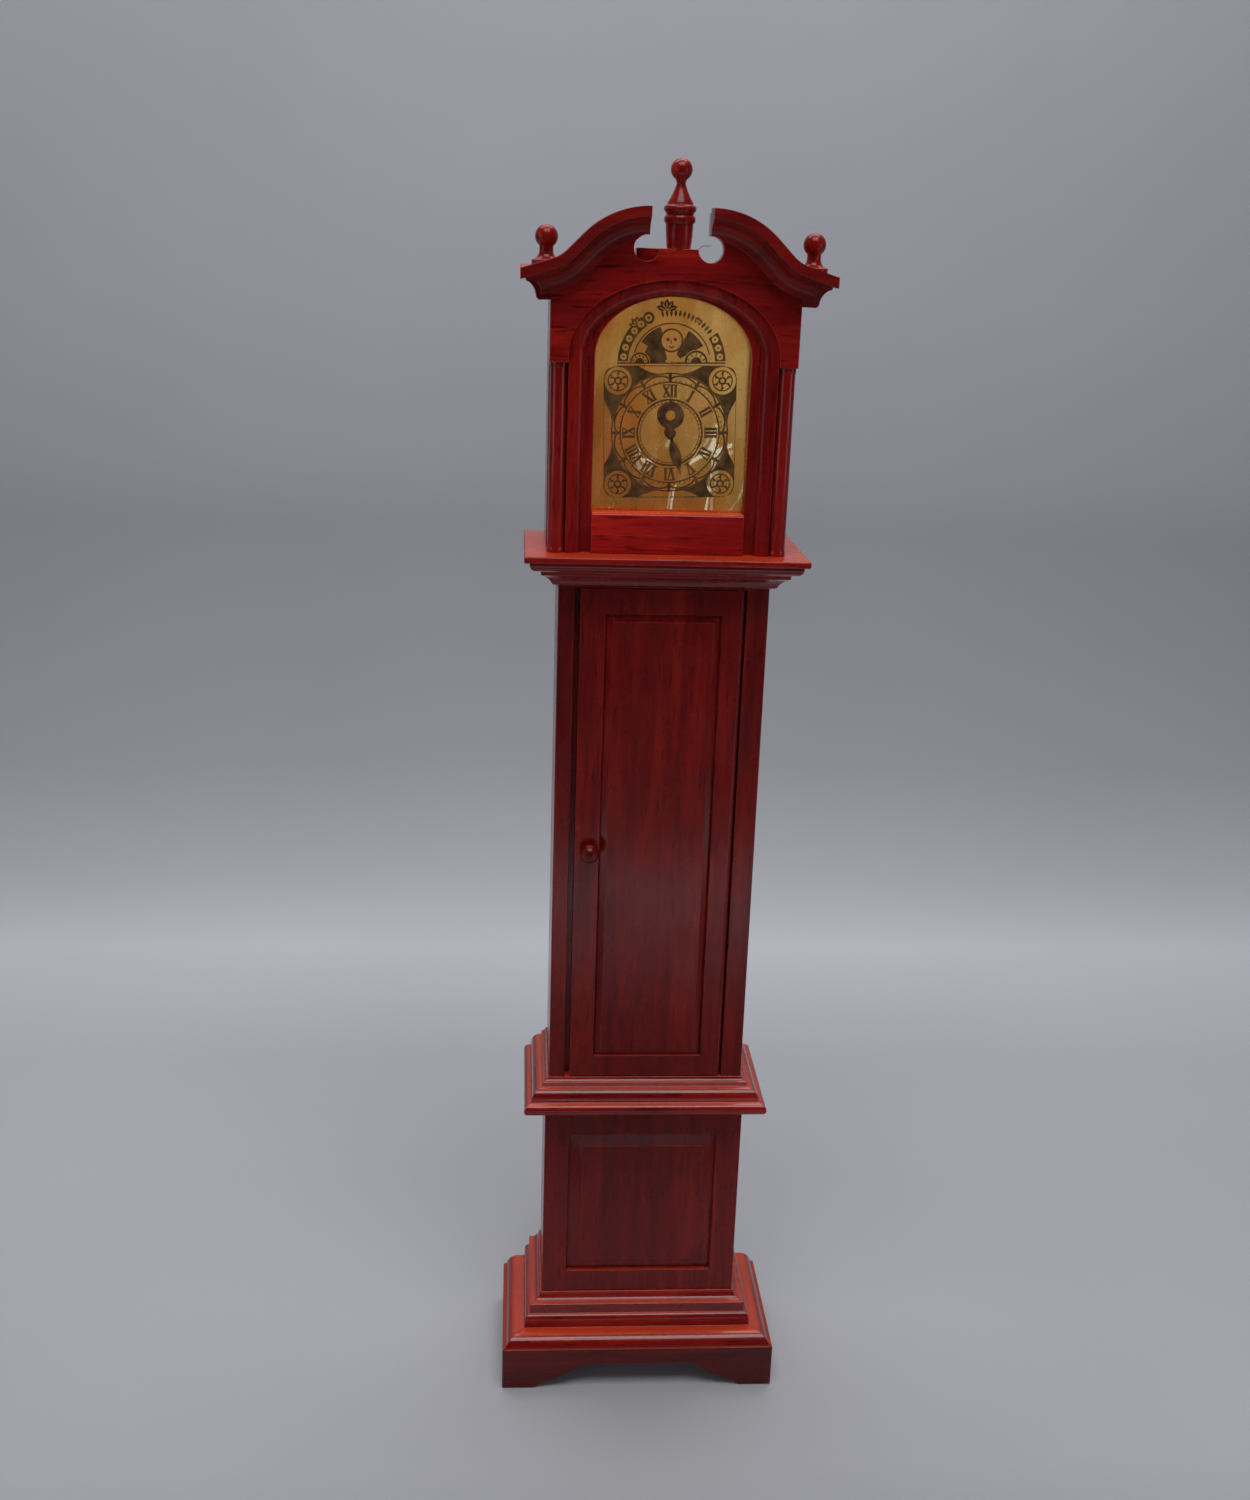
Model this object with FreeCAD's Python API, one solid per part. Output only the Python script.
import FreeCAD, Part
import math
import os

# A longcase ("grandfather") clock made at doll's-house scale, one twelfth of full size.
# Frame: origin at the centre of the base on the surface it stands on, +Z up,
# +X to the right of someone facing the dial, and the dial looks along -Y.
# All sizes are in millimetres.

# ---- Driving dimensions ----
clock_height = 190.5
clock_depth = 23.6
back_y = clock_depth / 2

# Plinth with bracket feet
plinth_half_width = 22.13
plinth_height = 7.27
plinth_board = 2.6
plinth_front_y = -clock_depth / 2
foot_toe_x = 17.0
foot_knee_x = 14.2
foot_knee_z = 1.45
foot_arch_x = 8.9
foot_arch_z = 4.4
foot_side_toe = 5.0
floor_thickness = 2.2

# Base box
base_half_width = 15.75
base_front_y = -5.4
base_top_z = 48.4
board = 1.6
inside_half_width = 13.55
base_panel_half_width = 11.9
base_panel_low_z = 17.8
base_panel_high_z = 43.2
base_bevel_width = 2.1
base_bevel_depth = 0.8
field_step = 0.15
base_moulding_top_z = 14.0

# Trunk (waist) with its door
trunk_half_width = 15.27
trunk_front_y = -4.88
stile_thickness = 1.7
waist_moulding_top_z = 53.5
waist_board_thickness = 1.6
opening_left_x = -12.86
opening_right_x = 12.05
door_left_x = -12.05
door_low_z = 53.75
door_high_z = 132.08
door_thickness = 1.6
door_proud = 0.2
door_edge_gap = 0.2
door_panel_left_x = -8.4
door_panel_right_x = 8.6
door_panel_low_z = 57.2
door_panel_high_z = 128.4
door_bevel_width = 1.15
door_bevel_depth = 0.6
knob_x = -9.85
knob_z = 91.8
knob_foot_radius = 0.7
knob_neck_radius = 0.5
knob_head_radius = 1.4
knob_reach = 2.6
door_stop_reach = 2.2
door_stop_thickness = 1.0
neck_low_z = 132.3
shelf_low_z = 136.4
shelf_top_z = 137.4
shelf_overhang = 4.97

# Door pivots: wire brads
pivot_radius = 0.35
pivot_clearance = 0.05
pivot_reach = 2.0
door_pivot_x = opening_right_x - door_edge_gap - door_thickness / 2
door_front_y = trunk_front_y - door_proud
door_pivot_y = door_front_y + door_thickness / 2

# Hood
hood_half_width = 17.12
hood_inner_half_width = 15.1
frieze_front_y = -6.71
frieze_thickness = 2.0
frieze_low_z = 163.7
plateau_z = 178.95
scroll_hole_x = 4.35
scroll_hole_radius = 1.72
roof_low_z = 174.5
roof_top_z = 176.05
backing_front_y = -3.5
backing_thickness = 1.8
hood_side_front_y = -3.05

# Dial opening: straight sides under a flat elliptical arch
arch_centre_z = 164.6
arch_outer_half_width = 14.5
arch_outer_rise = 10.3
arch_inner_half_width = 12.3
arch_inner_rise = 8.3
dial_half_width = 10.85
dial_rise = 8.1
surround_front_y = -6.4
surround_flat_y = -5.2
surround_back_y = -3.8
dial_low_z = 143.2
dial_thickness = 0.3
dial_lap = 1.0

# Columns
column_x = 15.8
column_y = -5.2
column_radius = 1.2
column_ring_radius = 1.27

# Cornice and swan-neck mouldings
cornice_reach = 4.1
cornice_low_z = 171.9
scroll_crown_x = 4.1
scroll_crown_z = 184.25
scroll_radius = 12.4
scroll_slope = 45.0
scroll_straight = 3.0
scroll_foot_radius = 5.0
scroll_foot_slope = 17.0
scroll_depth = 4.1
scroll_fillet_depth = 1.4

# Finials
finial_y = -5.2
corner_finial_x = 18.2
corner_finial_shift = 0.45
corner_finial_y = -4.6
corner_finial_foot_radius = 2.0
corner_finial_seat_x = 15.6

# Hands
hand_centre_x = 0.0
hand_centre_z = 154.25
hand_pin_radius = 0.25
hand_clearance = 0.05
hand_thickness = 0.2
hour_hand_y = -4.05
minute_hand_y = -4.5
minute_hand_angle = 163.5

# Pendulum and weights inside the trunk
pendulum_y = 6.0
pendulum_pivot_z = 132.6
pendulum_bob_z = 80.0
pendulum_bob_radius = 4.2
pendulum_rod_radius = 0.4
pendulum_eye_radius = 0.95
pendulum_wire_radius = 0.28
weight_x = 6.2
weight_y = 1.6
weight_radius = 1.6
weight_low_z = 92.0
weight_length = 11.0
weight_wire_radius = 0.25


# ---- Small helpers ----
def at(x, y, z):
    return FreeCAD.Vector(x, y, z)


def block(x_low, x_high, y_low, y_high, z_low, z_high):
    return Part.makeBox(x_high - x_low, y_high - y_low, z_high - z_low, at(x_low, y_low, z_low))


def rod(base, direction, radius, length):
    return Part.makeCylinder(radius, length, base, direction)


def line_edges(place, steps):
    """Lines and arcs in a row. Each step is a corner (a, b), or an arc (mid_a, mid_b, end_a, end_b)."""
    edges = []
    here = place(*steps[0])
    for step in steps[1:]:
        there = place(*step[-2:])
        if len(step) == 4:
            edges.append(Part.Arc(here, place(*step[:2]), there).toShape())
        else:
            edges.append(Part.makeLine(here, there))
        here = there
    return edges


def closed_face(place, steps):
    """A flat face inside an outline whose last step is joined back to its first."""
    edges = line_edges(place, steps)
    start = place(*steps[0])
    end = place(*steps[-1][-2:])
    if end.distanceToPoint(start) > 1e-6:
        edges.append(Part.makeLine(end, start))
    return Part.Face(Part.Wire(edges))


def front_outline(steps, y_low, y_high):
    """A board whose outline is drawn in the X-Z plane."""
    face = closed_face(lambda x, z: at(x, y_low, z), steps)
    return face.extrude(at(0, y_high - y_low, 0))


def side_outline(steps, x_low, x_high):
    """A board whose outline is drawn in the Y-Z plane."""
    face = closed_face(lambda y, z: at(x_low, y, z), steps)
    return face.extrude(at(x_high - x_low, 0, 0))


def plan_outline(steps, z_low, z_high):
    """A board whose outline is drawn in the X-Y plane."""
    face = closed_face(lambda x, y: at(x, y, z_low), steps)
    return face.extrude(at(0, 0, z_high - z_low))


def turned(profile, x, y):
    """A turning about a vertical axis. The profile is in (radius, z)."""
    face = closed_face(lambda r, z: at(r, 0, z), profile)
    solid = face.revolve(at(0, 0, 0), at(0, 0, 1), 360)
    solid.translate(at(x, y, 0))
    return solid


def dome_steps(edge_radius, edge_height, crown_height):
    """An arc step from the rim of a dome up to its crown, centred on the turning axis."""
    rise = crown_height - edge_height
    centre = (crown_height ** 2 - edge_height ** 2 - edge_radius ** 2) / (2 * rise)
    way = math.copysign(1, rise)
    ball = abs(crown_height - centre)
    half_angle = math.atan2(edge_radius, (edge_height - centre) * way) / 2
    return (ball * math.sin(half_angle), centre + way * ball * math.cos(half_angle), 0, crown_height)


def mirrored(shape):
    return shape.mirror(at(0, 0, 0), at(1, 0, 0))


def arch_wire(half_width, rise, low_z, y):
    """Straight legs from low_z under half of a flat ellipse."""
    right = at(half_width, y, arch_centre_z)
    left = at(-half_width, y, arch_centre_z)
    low_right = at(half_width, y, low_z)
    low_left = at(-half_width, y, low_z)
    curve = Part.Ellipse(right, at(0, y, arch_centre_z + rise), at(0, y, arch_centre_z))
    over = Part.ArcOfEllipse(curve, 0, math.pi).toShape()
    legs = [Part.makeLine(left, low_left), Part.makeLine(low_left, low_right), Part.makeLine(low_right, right)]
    return Part.Wire([over] + legs)


def arch_prism(half_width, rise, low_z, y_low, y_high):
    face = Part.Face(arch_wire(half_width, rise, low_z, y_low))
    return face.extrude(at(0, y_high - y_low, 0))


def raised_field_cutter(x_low, x_high, z_low, z_high, front_y, width, depth):
    """Cuts a groove with a steep outer wall, and a bevel that rises to a small step round the field."""
    def rectangle(inset, y):
        corners = [
            at(x_low + inset, y, z_low + inset),
            at(x_high - inset, y, z_low + inset),
            at(x_high - inset, y, z_high - inset),
            at(x_low + inset, y, z_high - inset),
        ]
        return Part.makePolygon(corners + corners[:1])

    recess = block(x_low, x_high, front_y - 1, front_y + depth, z_low, z_high)
    step_y = front_y + field_step
    bevel = Part.makeLoft([rectangle(0, front_y + depth), rectangle(width, step_y)], True, True)
    field = block(x_low + width, x_high - width, front_y - 1, step_y, z_low + width, z_high - width)
    return recess.cut(bevel).cut(field)


def moulding_strips(profile, half_width, front_y):
    """Front, left and right strips of one moulding, mitred at the front corners.
    The profile is in (distance out from the box, z)."""
    reach = max(max(step[0::2]) for step in profile) + 1
    low = min(min(step[1::2]) for step in profile) - 1
    high = max(max(step[1::2]) for step in profile) + 1
    far = half_width + reach

    front = closed_face(lambda o, z: at(-far, front_y - o, z), profile).extrude(at(2 * far, 0, 0))
    front_zone = [(-half_width, front_y), (half_width, front_y), (far, front_y - reach), (-far, front_y - reach)]
    front = front.common(plan_outline(front_zone, low, high))

    length = back_y - front_y + reach
    right = closed_face(lambda o, z: at(half_width + o, back_y, z), profile).extrude(at(0, -length, 0))
    right_zone = [(half_width, front_y), (half_width, back_y), (far, back_y), (far, front_y - reach)]
    right = right.common(plan_outline(right_zone, low, high))
    return front, mirrored(right), right


def save(name, shape):
    solids = shape.Solids
    kept = solids[0] if len(solids) == 1 else Part.makeCompound(solids)
    kept.exportStep(os.path.join("parts", name + ".step"))
    print(name, "solids", len(solids), "valid", kept.isValid(), "volume", round(kept.Volume, 2))


# ---- Plinth ----
def plinth_front():
    arch = [
        (-foot_toe_x, 0),
        (-(foot_toe_x + foot_knee_x) / 2, 0.9, -foot_knee_x, foot_knee_z),
        (-(foot_knee_x + foot_arch_x) / 2, 2.65, -foot_arch_x, foot_arch_z),
        (foot_arch_x, foot_arch_z),
        ((foot_knee_x + foot_arch_x) / 2, 2.65, foot_knee_x, foot_knee_z),
        ((foot_toe_x + foot_knee_x) / 2, 0.9, foot_toe_x, 0),
    ]
    outline = arch + [
        (plinth_half_width, 0),
        (plinth_half_width, plinth_height),
        (-plinth_half_width, plinth_height),
        (-plinth_half_width, 0),
    ]
    slab = front_outline(outline, plinth_front_y, plinth_front_y + plinth_board)
    inner = plinth_half_width - plinth_board
    inner_y = plinth_front_y + plinth_board
    mitres = [
        (-plinth_half_width, plinth_front_y),
        (plinth_half_width, plinth_front_y),
        (inner, inner_y),
        (-inner, inner_y),
    ]
    return slab.common(plan_outline(mitres, -1, plinth_height + 1))


def plinth_side():
    knee_y = plinth_front_y + 8.0
    arch_y = plinth_front_y + 10.6
    outline = [
        (plinth_front_y, 0),
        (plinth_front_y + foot_side_toe, 0),
        (plinth_front_y + foot_side_toe + 1.7, 0.9, knee_y, foot_knee_z),
        ((knee_y + arch_y) / 2, 2.8, arch_y, 3.8),
        (back_y - 6.8, 3.8),
        (back_y - 5.9, 2.8, back_y - 4.8, foot_knee_z),
        (back_y - 4.0, 0.9, back_y - 2.8, 0),
        (back_y, 0),
        (back_y, plinth_height),
        (plinth_front_y, plinth_height),
    ]
    slab = side_outline(outline, plinth_half_width - plinth_board, plinth_half_width)
    inner_y = plinth_front_y + plinth_board
    mitre = [
        (plinth_half_width, plinth_front_y),
        (plinth_half_width, back_y),
        (plinth_half_width - plinth_board, back_y),
        (plinth_half_width - plinth_board, inner_y),
    ]
    return slab.common(plan_outline(mitre, -1, plinth_height + 1))


def base_floor():
    inner = plinth_half_width - plinth_board
    return block(-inner, inner, plinth_front_y + plinth_board, back_y, plinth_height - floor_thickness, plinth_height)


# ---- Base box ----
def base_moulding_profile():
    low = plinth_height
    top = base_moulding_top_z
    return [
        (0, low),
        (5.9, low),
        (5.25, 8.35, 3.65, 8.9),
        (2.8, 8.95),
        (2.75, 10.0),
        (2.62, 10.7, 2.1, 11.1),
        (1.98, 11.15),
        (1.98, 12.5),
        (1.92, 12.68, 1.7, 12.75),
        (0.8, 13.0, 0.3, top),
        (0, top),
    ]


def base_front_panel():
    width = base_half_width
    slab = block(-width, width, base_front_y, base_front_y + board, plinth_height, base_top_z)
    cutter = raised_field_cutter(
        -base_panel_half_width,
        base_panel_half_width,
        base_panel_low_z,
        base_panel_high_z,
        base_front_y,
        base_bevel_width,
        base_bevel_depth,
    )
    return slab.cut(cutter)


def base_side():
    return block(inside_half_width, base_half_width, base_front_y + board, back_y, plinth_height, base_top_z)


def case_back():
    return block(-inside_half_width, inside_half_width, back_y - board, back_y, plinth_height, shelf_low_z)


# ---- Trunk ----
def waist_board():
    top = base_top_z + waist_board_thickness
    whole = block(-trunk_half_width, trunk_half_width, trunk_front_y, back_y, base_top_z, top)
    return whole.cut(block(-inside_half_width, inside_half_width, back_y - board, back_y, base_top_z, top))


def waist_moulding_profile():
    low = base_top_z
    top = waist_moulding_top_z
    return [
        (0, low),
        (3.25, low),
        (3.86, low + 0.85, 3.3, low + 1.8),
        (2.72, low + 1.95),
        (2.66, low + 2.3),
        (2.2, low + 3.4, 1.3, low + 3.85),
        (1.0, low + 3.9),
        (0.95, low + 4.45),
        (0.45, low + 4.7, 0.2, top),
        (0, top),
    ]


def trunk_side():
    """A side board with the lip that the door closes in front of."""
    low = base_top_z + waist_board_thickness
    front = trunk_front_y + stile_thickness
    side = block(inside_half_width, trunk_half_width, front, back_y, low, shelf_low_z)
    lip_x = inside_half_width - door_stop_reach
    lip = block(lip_x, inside_half_width, front, front + door_stop_thickness, waist_moulding_top_z, neck_low_z)
    return side.fuse(lip).removeSplitter()


def trunk_stile(x_low, x_high):
    low = base_top_z + waist_board_thickness
    return block(x_low, x_high, trunk_front_y, trunk_front_y + stile_thickness, low, shelf_low_z)


def pivot_hole(z_low, z_high):
    radius = pivot_radius
    return rod(at(door_pivot_x, door_pivot_y, z_low), at(0, 0, 1), radius, z_high - z_low)


def trunk_threshold():
    low = base_top_z + waist_board_thickness
    high = waist_moulding_top_z
    rail = block(opening_left_x, opening_right_x, trunk_front_y, trunk_front_y + stile_thickness, low, high)
    return rail.cut(pivot_hole(high - pivot_reach, high))


def trunk_header():
    low = neck_low_z - 0.1
    back = trunk_front_y + stile_thickness
    rail = block(opening_left_x, opening_right_x, trunk_front_y, back, low, shelf_low_z)
    return rail.cut(pivot_hole(low, low + pivot_reach))


def trunk_top_board():
    front = trunk_front_y + stile_thickness
    low = shelf_low_z - board
    return block(-inside_half_width, inside_half_width, front, back_y - board, low, shelf_low_z)


def trunk_door():
    edge = door_pivot_x
    slab = block(door_left_x, edge, door_front_y, door_front_y + door_thickness, door_low_z, door_high_z)
    height = door_high_z - door_low_z
    roll = rod(at(edge, door_pivot_y, door_low_z), at(0, 0, 1), door_thickness / 2, height)
    door = slab.fuse(roll).removeSplitter()
    door = door.cut(
        raised_field_cutter(
            door_panel_left_x,
            door_panel_right_x,
            door_panel_low_z,
            door_panel_high_z,
            door_front_y,
            door_bevel_width,
            door_bevel_depth,
        )
    )
    bore = pivot_radius + pivot_clearance
    for z_low in (door_low_z - 1, door_high_z - pivot_reach - 0.2):
        door = door.cut(rod(at(edge, door_pivot_y, z_low), at(0, 0, 1), bore, pivot_reach + 1.2))
    return door


def door_knob():
    """A turned peg with a round head, standing out from the door's left stile."""
    head_start = knob_reach * 0.37
    widest = knob_reach * 0.6
    profile = [
        (0, 0),
        (knob_foot_radius, 0),
        (knob_neck_radius, head_start * 0.4, knob_neck_radius + 0.1, head_start * 0.8),
        (knob_head_radius * 0.92, head_start, knob_head_radius, widest),
        dome_steps(knob_head_radius, widest, knob_reach),
    ]
    face = closed_face(lambda r, h: at(r, -h, 0), profile)
    knob = face.revolve(at(0, 0, 0), at(0, 1, 0), 360)
    knob.translate(at(knob_x, door_front_y, knob_z))
    return knob


def hinge_pin(z_low, z_high):
    return rod(at(door_pivot_x, door_pivot_y, z_low), at(0, 0, 1), pivot_radius, z_high - z_low)


def neck_moulding_profile():
    return [
        (0, shelf_low_z),
        (4.15, shelf_low_z),
        (3.95, 135.45, 3.05, 135.0),
        (2.6, 134.85),
        (2.55, 134.35),
        (1.6, 133.75, 0.9, neck_low_z + 0.45),
        (0, neck_low_z),
    ]


def hood_shelf():
    half = trunk_half_width + shelf_overhang
    front = trunk_front_y - shelf_overhang
    plate = block(-half, half, front, back_y, shelf_low_z, shelf_top_z)
    edges = []
    for edge in plate.Edges:
        middle = edge.CenterOfMass
        level = edge.BoundBox.ZLength < 1e-6
        if level and middle.y < back_y - 0.01 and (abs(middle.x) > half - 0.01 or middle.y < front + 0.01):
            edges.append(edge)
    return plate.makeFillet(0.3, edges)


# ---- Hood ----
def hood_side():
    """A side board that steps forward above the columns to meet the frieze."""
    outline = [
        (back_y, shelf_top_z),
        (back_y, roof_low_z),
        (frieze_front_y + frieze_thickness, roof_low_z),
        (frieze_front_y + frieze_thickness, frieze_low_z),
        (hood_side_front_y, frieze_low_z),
        (hood_side_front_y, shelf_top_z),
    ]
    return side_outline(outline, hood_inner_half_width, hood_half_width)


def hood_backing():
    """The board behind the dial, with a hole for the hands' pin."""
    back = backing_front_y + backing_thickness
    half = hood_inner_half_width
    backing = block(-half, half, backing_front_y, back, shelf_top_z, roof_low_z)
    pin_hole_at = at(hand_centre_x, backing_front_y - 1, hand_centre_z)
    return backing.cut(rod(pin_hole_at, at(0, 1, 0), hand_pin_radius, 2.4))


def hood_back():
    half = hood_inner_half_width
    return block(-half, half, back_y - board, back_y, shelf_top_z, roof_low_z)


def hood_roof():
    return block(-hood_half_width, hood_half_width, frieze_front_y + frieze_thickness, back_y, roof_low_z, roof_top_z)


def scroll_line(depth):
    """The right-hand swan-neck's line, a set distance below its top edge: crown arc,
    straight slope, reversed foot arc and a straight run to the tip."""
    slope = math.radians(scroll_slope)
    foot = math.radians(scroll_foot_slope)
    centre_z = scroll_crown_z - scroll_radius
    radius = scroll_radius - depth

    def on_crown(angle):
        return (scroll_crown_x + radius * math.sin(angle), centre_z + radius * math.cos(angle))

    slope_top = on_crown(slope)
    slope_end_x = slope_top[0] + scroll_straight * math.cos(slope)
    slope_end_z = slope_top[1] - scroll_straight * math.sin(slope)
    foot_radius = scroll_foot_radius + depth
    foot_centre_x = slope_end_x + foot_radius * math.sin(slope)
    foot_centre_z = slope_end_z + foot_radius * math.cos(slope)

    def on_foot(angle):
        return (foot_centre_x - foot_radius * math.sin(angle), foot_centre_z - foot_radius * math.cos(angle))

    foot_end = on_foot(foot)
    tip_x = hood_half_width + cornice_reach + 1.5
    tip_z = foot_end[1] - (tip_x - foot_end[0]) * math.tan(foot)
    return [
        on_crown(0),
        on_crown(slope / 2) + slope_top,
        (slope_end_x, slope_end_z),
        on_foot((slope + foot) / 2) + foot_end,
        (tip_x, tip_z),
    ]


def swan_neck():
    """The right swan-neck: a moulding with a square top fillet, a quirk and a cove below it,
    carried along the scroll line and mitred at the hood's corner."""
    front = frieze_front_y
    top = scroll_crown_z
    reach = cornice_reach
    profile = [
        (0, 0),
        (reach, 0),
        (reach, scroll_fillet_depth - 0.2),
        (reach - 0.06, scroll_fillet_depth - 0.06, reach - 0.2, scroll_fillet_depth),
        (reach - 0.7, scroll_fillet_depth),
        (reach - 0.75, scroll_fillet_depth + 0.35),
        (reach - 1.0, scroll_fillet_depth + 0.4),
        (reach - 2.3, scroll_fillet_depth + 1.2, 1.35, scroll_depth - 0.4),
        (1.3, scroll_depth),
        (0, scroll_depth),
    ]
    face = closed_face(lambda o, depth: at(scroll_crown_x, front - o, top - depth), profile)
    path = Part.Wire(line_edges(lambda x, z: at(x, front, z), scroll_line(0)))
    solid = path.makePipeShell([face.OuterWire], True, False)
    far = hood_half_width + cornice_reach + 3
    zone = [
        (0, front + 1),
        (0, front - cornice_reach - 3),
        (far, front - (far - hood_half_width)),
        (hood_half_width, front),
        (hood_half_width, front + 1),
    ]
    solid = solid.common(plan_outline(zone, roof_low_z - 10, clock_height))
    hole = rod(at(scroll_hole_x, front - 10, plateau_z), at(0, 1, 0), scroll_hole_radius, 12)
    return solid.cut(hole)


def cornice_profile():
    tip = cornice_reach
    return [
        (0, cornice_low_z),
        (1.65, cornice_low_z),
        (1.95, cornice_low_z + 0.35),
        (2.15, cornice_low_z + 1.3, 3.0, cornice_low_z + 2.35),
        (3.3, cornice_low_z + 2.4),
        (3.35, cornice_low_z + 2.8),
        (3.95, cornice_low_z + 2.9, tip, cornice_low_z + 3.3),
        (tip, roof_top_z),
        (0, roof_top_z),
    ]


def frieze_board():
    """The arched front board: level foot, swan-neck top, scroll holes and a plateau for the finial."""
    line = scroll_line(0.6)
    edge_z = line[3][3] - (hood_half_width - line[3][2]) * math.tan(math.radians(scroll_foot_slope))
    outline = [(0, frieze_low_z), (0, plateau_z), (scroll_crown_x, plateau_z)] + line[:4]
    outline += [(hood_half_width, edge_z), (hood_half_width, frieze_low_z)]
    back = frieze_front_y + frieze_thickness
    half = front_outline(outline, frieze_front_y, back)
    hole_at = at(scroll_hole_x, frieze_front_y - 1, plateau_z)
    half = half.cut(rod(hole_at, at(0, 1, 0), scroll_hole_radius, frieze_thickness + 2))
    finial_seat = block(corner_finial_seat_x, 20, frieze_front_y - 1, back + 1, roof_top_z, plateau_z)
    half = half.cut(finial_seat)
    whole = half.fuse(mirrored(half)).removeSplitter()
    opening = arch_prism(arch_outer_half_width, arch_outer_rise, frieze_low_z - 5, frieze_front_y - 1, back + 1)
    return whole.cut(opening)


def dial_surround():
    """An arched frame: a cove that falls inward from the frieze, then a flat margin."""
    low = shelf_top_z
    body = arch_prism(arch_outer_half_width, arch_outer_rise, low, surround_front_y, surround_back_y)
    count = 5
    wires = [arch_wire(arch_outer_half_width - 0.3, arch_outer_rise - 0.3, low - 5, surround_front_y - 0.5)]
    for index in range(count + 1):
        share = index / count
        fall = 1 - math.sqrt(1 - (1 - share) ** 2) if share > 0 else 1.0
        half = arch_outer_half_width - 0.3 - (arch_outer_half_width - 0.3 - arch_inner_half_width) * (1 - fall)
        rise = arch_outer_rise - 0.3 - (arch_outer_rise - 0.3 - arch_inner_rise) * (1 - fall)
        y = surround_front_y + (surround_flat_y - surround_front_y) * share
        wires.append(arch_wire(half, rise, low - 5, y))
    cove = Part.makeLoft(wires, True, True)
    body = body.cut(cove).cut(hood_roof())
    return body.cut(arch_prism(dial_half_width, dial_rise, low - 5, surround_front_y - 2, surround_back_y + 2))


def dial_sill():
    """The rail under the dial, with a rounded upper edge."""
    front = surround_front_y + 0.1
    outline = [
        (surround_back_y, shelf_top_z),
        (surround_back_y, dial_low_z),
        (front + 0.5, dial_low_z),
        (front + 0.15, dial_low_z - 0.15, front, dial_low_z - 0.5),
        (front, shelf_top_z),
    ]
    return side_outline(outline, -dial_half_width, dial_half_width)


def dial_plate():
    """A thin sheet, cut a little larger than the opening and held behind the surround."""
    half = dial_half_width + dial_lap
    rise = dial_rise + dial_lap
    sheet = arch_prism(half, rise, dial_low_z - 2.0, backing_front_y - dial_thickness, backing_front_y)
    hole = rod(at(hand_centre_x, -8, hand_centre_z), at(0, 1, 0), hand_pin_radius, 10)
    return sheet.cut(hole)


def column():
    """A plain round column with a ring turned at each end."""
    low = shelf_top_z
    high = frieze_low_z
    ring = column_ring_radius
    slim = column_radius
    profile = [
        (0, low),
        (ring, low),
        (ring, low + 0.7),
        (slim, low + 0.85),
        (slim, high - 0.85),
        (ring, high - 0.7),
        (ring, high),
        (0, high),
    ]
    return turned(profile, column_x, column_y)


def finial_block():
    return block(-5.6, 2.6, frieze_front_y + frieze_thickness, -1.9, roof_top_z, plateau_z)


def ball_steps(radius, centre_z, join_radius):
    """Steps round a turned ball, from the circle where it joins its stem up to its crown."""
    join_angle = math.asin(join_radius / radius)
    low_angle = (join_angle + math.pi / 2) / 2
    high = radius * math.sqrt(0.5)
    return [
        (join_radius, centre_z - radius * math.cos(join_angle)),
        (radius * math.sin(low_angle), centre_z - radius * math.cos(low_angle), radius, centre_z),
        (high, centre_z + high, 0, centre_z + radius),
    ]


def centre_finial():
    """An urn under a flared neck and a ball."""
    low = plateau_z
    ball = 1.47
    neck_radius = 0.6
    profile = [
        (0, low),
        (1.62, low),
        (1.8, low + 1.6, 1.86, low + 3.2),
        (2.08, low + 3.4),
        (2.14, low + 3.75, 2.08, low + 4.1),
        (1.86, low + 4.3),
        (1.9, low + 4.6),
        (2.12, low + 4.8),
        (2.2, low + 5.15, 2.05, low + 5.5),
        (1.78, low + 5.65),
        (1.72, low + 5.95),
        (1.05, low + 7.15, neck_radius, low + 8.3),
    ]
    profile += ball_steps(ball, clock_height - ball, 0.75)
    return turned(profile, 0.05, finial_y)


def corner_finial(x):
    """A ball on a short waisted stem with a flared foot."""
    low = roof_top_z
    foot = corner_finial_foot_radius
    stem_radius = 0.95
    profile = [
        (0, low),
        (foot, low),
        (foot, low + 0.95),
        (1.25, low + 1.35, stem_radius, low + 2.25),
    ]
    profile += ball_steps(1.56, low + 3.98, stem_radius)
    return turned(profile, x, corner_finial_y)


# ---- Hands ----
def hand_pin():
    front = minute_hand_y - hand_thickness - 0.15
    length = backing_front_y + 1.4 - front
    pin = rod(at(hand_centre_x, front, hand_centre_z), at(0, 1, 0), hand_pin_radius, length)
    head = rod(at(hand_centre_x, front - 0.25, hand_centre_z), at(0, 1, 0), 0.55, 0.25)
    return pin.fuse(head).removeSplitter()


def hand_from(outline, y, angle):
    """A flat hand drawn pointing up from the dial's centre, then turned clockwise."""
    blade = front_outline(outline, y - hand_thickness, y)
    boss = rod(at(0, y - hand_thickness, 0), at(0, 1, 0), 0.75, hand_thickness)
    hand = blade.fuse(boss).removeSplitter()
    bore = hand_pin_radius + hand_clearance
    hand = hand.cut(rod(at(0, y - 1, 0), at(0, 1, 0), bore, 2))
    hand.rotate(at(0, 0, 0), at(0, 1, 0), angle)
    hand.translate(at(hand_centre_x, 0, hand_centre_z))
    return hand


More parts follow.
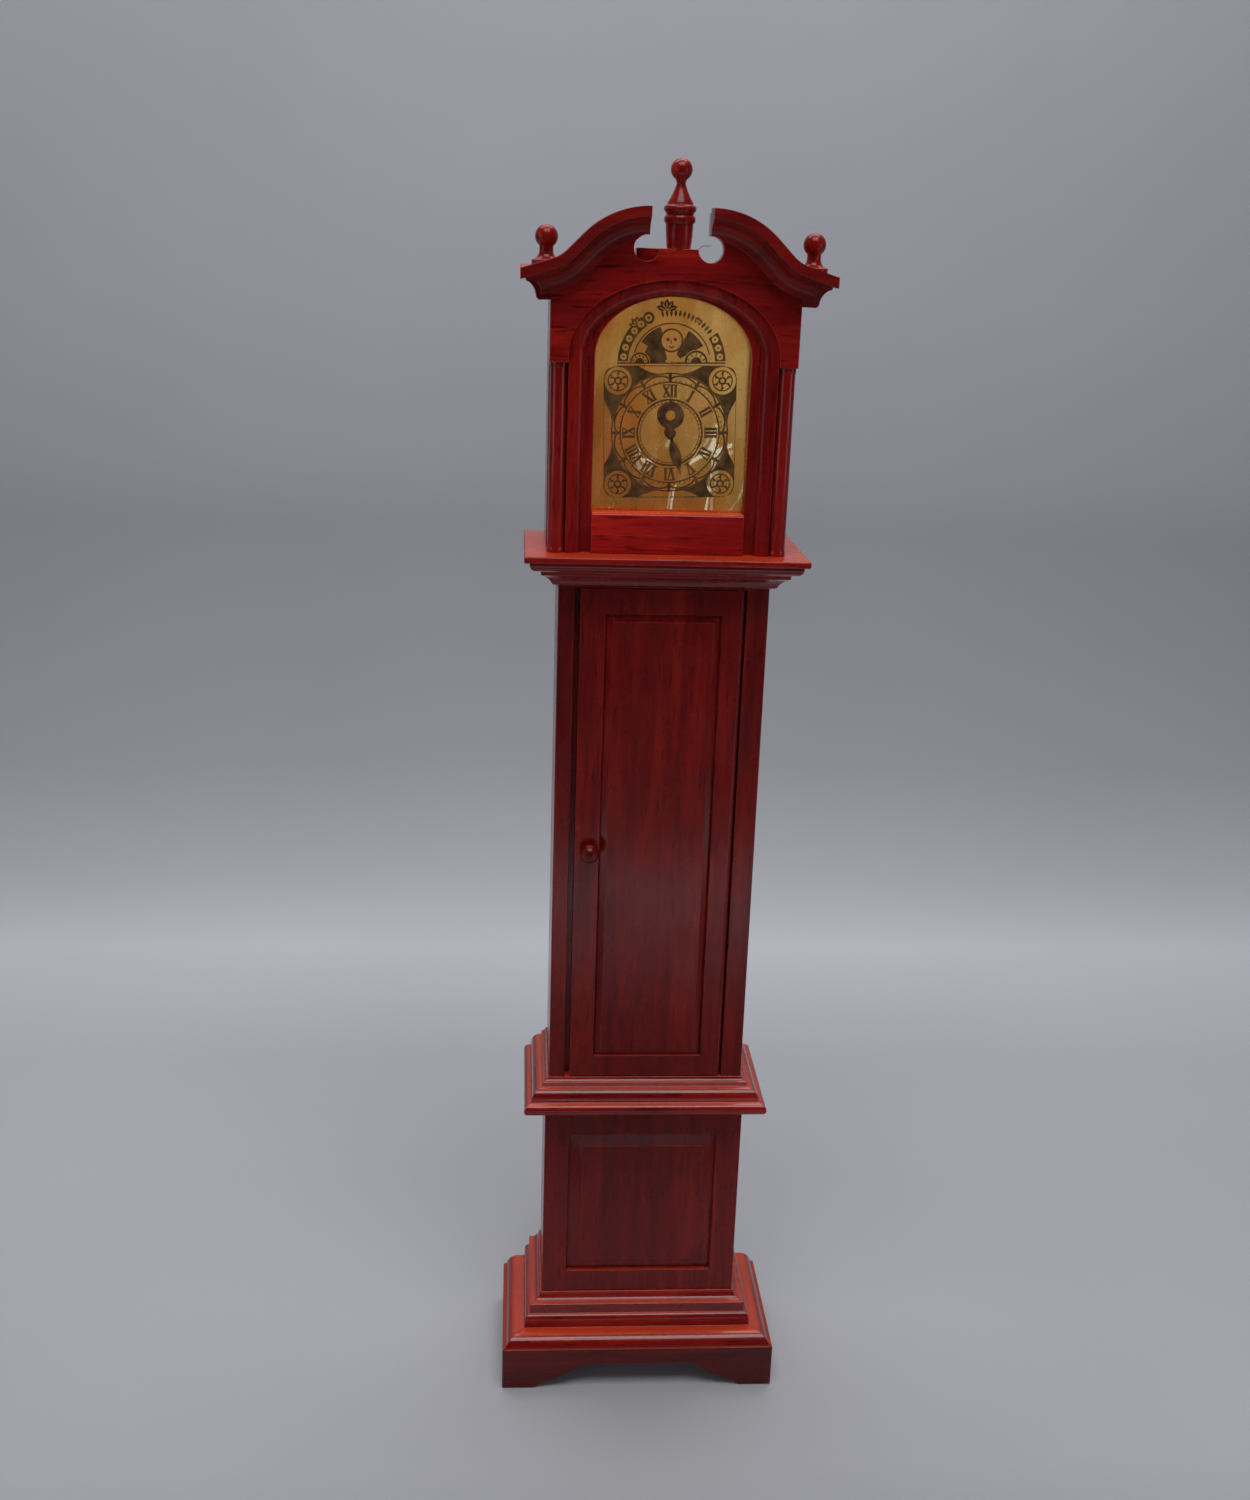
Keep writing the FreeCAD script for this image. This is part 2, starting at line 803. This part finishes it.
def hour_hand():
    """Short hand: a broad open ring on a shank, with a small point beyond it."""
    lobe_z = 2.4
    lobe_radius = 1.85
    eye_radius = 0.72
    outline = [(-0.28, -0.9), (0.28, -0.9), (0.24, 4.1), (0, 4.8), (-0.24, 4.1)]
    hand = hand_from(outline, hour_hand_y, 0)
    here = at(hand_centre_x, hour_hand_y - hand_thickness, hand_centre_z + lobe_z)
    lobe = rod(here, at(0, 1, 0), lobe_radius, hand_thickness)
    bore = hand_pin_radius + hand_clearance
    hub_at = at(hand_centre_x, hour_hand_y - 1, hand_centre_z)
    hand = hand.fuse(lobe).cut(rod(hub_at, at(0, 1, 0), bore, 2))
    eye = at(hand_centre_x, hour_hand_y - 1, hand_centre_z + lobe_z)
    return hand.cut(rod(eye, at(0, 1, 0), eye_radius, 2)).removeSplitter()


def minute_hand():
    """Long hand: a leaf-shaped blade on a thin shank."""
    outline = [
        (-0.22, -1.3),
        (0.22, -1.3),
        (0.16, 1.2),
        (0.7, 3.3, 0.14, 5.1),
        (0, 6.1),
        (-0.14, 5.1),
        (-0.7, 3.3, -0.16, 1.2),
    ]
    return hand_from(outline, minute_hand_y, minute_hand_angle)


# ---- Pendulum and weights ----
def pendulum_hook():
    """A wire peg with a level finger that the pendulum's eye hangs on."""
    top = shelf_low_z - 0.2
    reach = 2.2
    radius = pendulum_wire_radius
    stem_y = pendulum_y + reach / 2
    stem = rod(at(0, stem_y, pendulum_pivot_z), at(0, 0, 1), radius, top - pendulum_pivot_z)
    finger = rod(at(0, stem_y - reach, pendulum_pivot_z), at(0, 1, 0), radius, reach)
    elbow = Part.makeSphere(radius, at(0, stem_y, pendulum_pivot_z))
    return stem.fuse(finger).fuse(elbow).removeSplitter()


def pendulum_rod():
    """A straight wire with a flat eye at the top that runs on the hook's finger."""
    bore = pendulum_wire_radius + 0.06
    half = 0.3
    axis_at = at(0, pendulum_y - half, pendulum_pivot_z)
    eye = rod(axis_at, at(0, 1, 0), pendulum_eye_radius, 2 * half)
    low = pendulum_bob_z - pendulum_bob_radius - 1.2
    shank_top = pendulum_pivot_z - 0.7
    shank = rod(at(0, pendulum_y, low), at(0, 0, 1), pendulum_rod_radius, shank_top - low)
    hole = rod(at(0, pendulum_y - 2, pendulum_pivot_z), at(0, 1, 0), bore, 4)
    return eye.fuse(shank).removeSplitter().cut(hole)


def pendulum_bob():
    """A lens-shaped disc threaded on the rod."""
    radius = pendulum_bob_radius
    rim = 0.35
    bulge = 0.95
    back_dome = dome_steps(radius, -rim, -bulge)
    profile = [
        (0, -bulge),
        back_dome[:2] + (radius, -rim),
        (radius, rim),
        dome_steps(radius, rim, bulge),
    ]
    face = closed_face(lambda r, h: at(r, h, 0), profile)
    bob = face.revolve(at(0, 0, 0), at(0, 1, 0), 360)
    bob.translate(at(0, pendulum_y, pendulum_bob_z))
    hole_at = at(0, pendulum_y, pendulum_bob_z - radius - 1)
    return bob.cut(rod(hole_at, at(0, 0, 1), pendulum_rod_radius, 2 * radius + 2))


def weight(x):
    """A plain cylinder with softened ends, drilled at the top for its wire."""
    low = weight_low_z
    high = low + weight_length
    radius = weight_radius
    profile = [
        (0, low),
        (radius - 0.35, low),
        (radius - 0.1, low + 0.1, radius, low + 0.35),
        (radius, high - 0.35),
        (radius - 0.1, high - 0.1, radius - 0.35, high),
        (0, high),
    ]
    solid = turned(profile, x, weight_y)
    return solid.cut(rod(at(x, weight_y, high - 2), at(0, 0, 1), weight_wire_radius, 4))


def weight_wire(x):
    low = weight_low_z + weight_length - 2
    high = shelf_low_z - board
    return rod(at(x, weight_y, low), at(0, 0, 1), weight_wire_radius, high - low)


# ---- Write every piece ----
os.makedirs("parts", exist_ok=True)

save("plinth_front", plinth_front())
save("plinth_right", plinth_side())
save("plinth_left", mirrored(plinth_side()))
save("base_floor", base_floor())

moulding_sets = {
    "base_moulding": (base_moulding_profile(), base_half_width, base_front_y),
    "waist_moulding": (waist_moulding_profile(), trunk_half_width, trunk_front_y),
    "neck_moulding": (neck_moulding_profile(), trunk_half_width, trunk_front_y),
}
for moulding_name, (profile, half_width, front_y) in moulding_sets.items():
    strips = moulding_strips(profile, half_width, front_y)
    for place_name, strip in zip(("front", "left", "right"), strips):
        save(moulding_name + "_" + place_name, strip)

save("base_front_panel", base_front_panel())
save("base_side_right", base_side())
save("base_side_left", mirrored(base_side()))
save("case_back", case_back())
save("waist_board", waist_board())
save("trunk_side_right", trunk_side())
save("trunk_side_left", mirrored(trunk_side()))
save("trunk_stile_left", trunk_stile(-trunk_half_width, opening_left_x))
save("trunk_stile_right", trunk_stile(opening_right_x, trunk_half_width))
save("trunk_threshold", trunk_threshold())
save("trunk_header", trunk_header())

top_board = trunk_top_board()
hook = pendulum_hook()
save("trunk_top_board", top_board.cut(hook))
save("pendulum_hook", hook)

save("trunk_door", trunk_door())
save("door_knob", door_knob())
header_low = neck_low_z - 0.1
save("hinge_pin_lower", hinge_pin(waist_moulding_top_z - pivot_reach, door_low_z + pivot_reach - 0.1))
save("hinge_pin_upper", hinge_pin(door_high_z - pivot_reach + 0.1, header_low + pivot_reach))
save("hood_shelf", hood_shelf())

save("hood_side_right", hood_side())
save("hood_side_left", mirrored(hood_side()))
save("hood_backing", hood_backing())
save("hood_back", hood_back())
save("hood_roof", hood_roof())
save("frieze_board", frieze_board())
save("dial_surround", dial_surround())
save("dial_sill", dial_sill())
save("dial_plate", dial_plate())
save("column_right", column())
save("column_left", mirrored(column()))
save("swan_neck_right", swan_neck())
save("swan_neck_left", mirrored(swan_neck()))
cornice_sides = moulding_strips(cornice_profile(), hood_half_width, frieze_front_y)[1:]
for side_name, strip in zip(("left", "right"), cornice_sides):
    save("cornice_" + side_name, strip)
save("finial_block", finial_block())
save("finial_centre", centre_finial())
save("finial_left", corner_finial(corner_finial_shift - corner_finial_x))
save("finial_right", corner_finial(corner_finial_shift + corner_finial_x))

save("hand_pin", hand_pin())
save("hour_hand", hour_hand())
save("minute_hand", minute_hand())
save("pendulum_rod", pendulum_rod())
save("pendulum_bob", pendulum_bob())
for side_name, side in (("left", -1), ("right", 1)):
    save("weight_" + side_name, weight(side * weight_x))
    save("weight_wire_" + side_name, weight_wire(side * weight_x))
